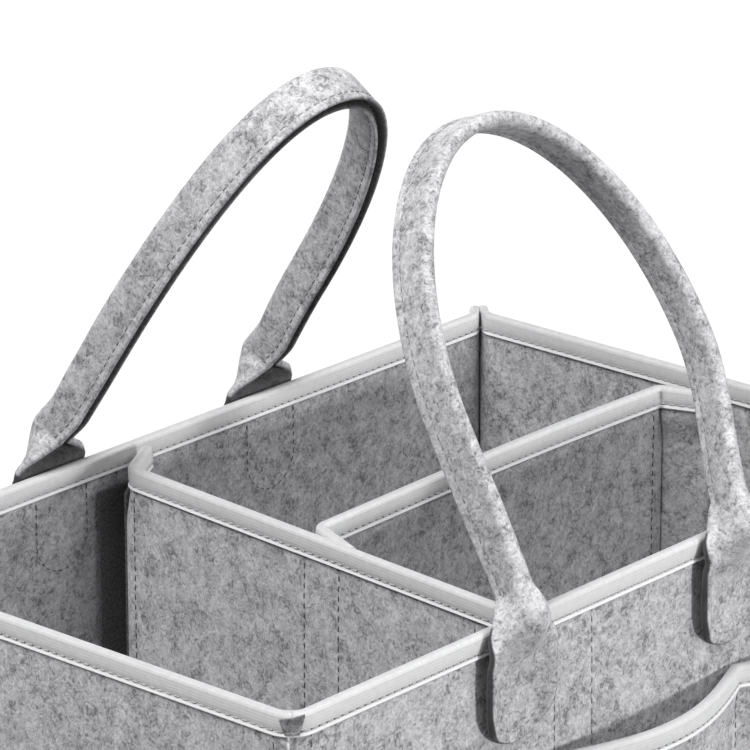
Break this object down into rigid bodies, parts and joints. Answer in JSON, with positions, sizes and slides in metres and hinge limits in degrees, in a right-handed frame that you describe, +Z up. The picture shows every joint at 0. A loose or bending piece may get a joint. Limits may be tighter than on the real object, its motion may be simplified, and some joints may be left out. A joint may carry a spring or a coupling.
{
  "type": "diaper caddy",
  "caption": "Open felt caddy with bound edges, folded carrying handles, removable dividers with hook-and-loop flaps and gaping outer pockets, for carrying nappies and small things.",
  "frame": {"origin": "middle of the underside, on the surface that the caddy stands on", "axes": "+X along the long side, +Y from the front wall to the back wall, +Z up"},
  "size_m": [0.3924, 0.2786, 0.348],
  "materials": {
    "felt": "heather grey needled felt",
    "tape": "pale grey ribbed binding tape",
    "hook_loop": "grey hook-and-loop tape"
  },
  "bodies": {
    "caddy": {"front_wall": "felt", "back_wall": "felt", "left_wall": "felt", "right_wall": "felt", "base_panel": "felt", "front_pocket": "felt", "back_pocket": "felt", "front_handle_left_tab": "felt", "front_handle_right_tab": "felt", "back_handle_left_tab": "felt", "back_handle_right_tab": "felt", "cross_divider": "felt", "front_rim_binding": "tape", "back_rim_binding": "tape", "left_rim_binding": "tape", "right_rim_binding": "tape", "front_pocket_binding": "tape", "back_pocket_binding": "tape", "cross_divider_binding": "tape", "front_wall_loop_strip": "hook_loop", "back_wall_loop_strip": "hook_loop", "right_wall_loop_strip": "hook_loop", "cross_divider_loop_strip": "hook_loop", "cross_divider_front_hook_strip": "hook_loop", "cross_divider_back_hook_strip": "hook_loop"},
    "front_handle": {"front_handle_loop": "felt"},
    "back_handle": {"back_handle_loop": "felt"},
    "long_divider": {"long_divider": "felt", "long_divider_binding": "tape", "long_divider_near_hook_strip": "hook_loop", "long_divider_far_hook_strip": "hook_loop"}
  },
  "joints": [
    {"name": "front_handle_swing", "type": "hinge", "parent": "caddy", "child": "front_handle", "pos_m": [0, -0.1207, 0.181], "axis": [1, 0, 0], "range_deg": [-9.5, 148]},
    {"name": "back_handle_swing", "type": "hinge", "parent": "caddy", "child": "back_handle", "pos_m": [0, 0.1207, 0.181], "axis": [-1, 0, 0], "range_deg": [-4, 153]},
    {"name": "long_divider_lift", "type": "slide", "parent": "caddy", "child": "long_divider", "axis": [0, 0, 1], "range_m": [0, 0.13]}
  ]
}
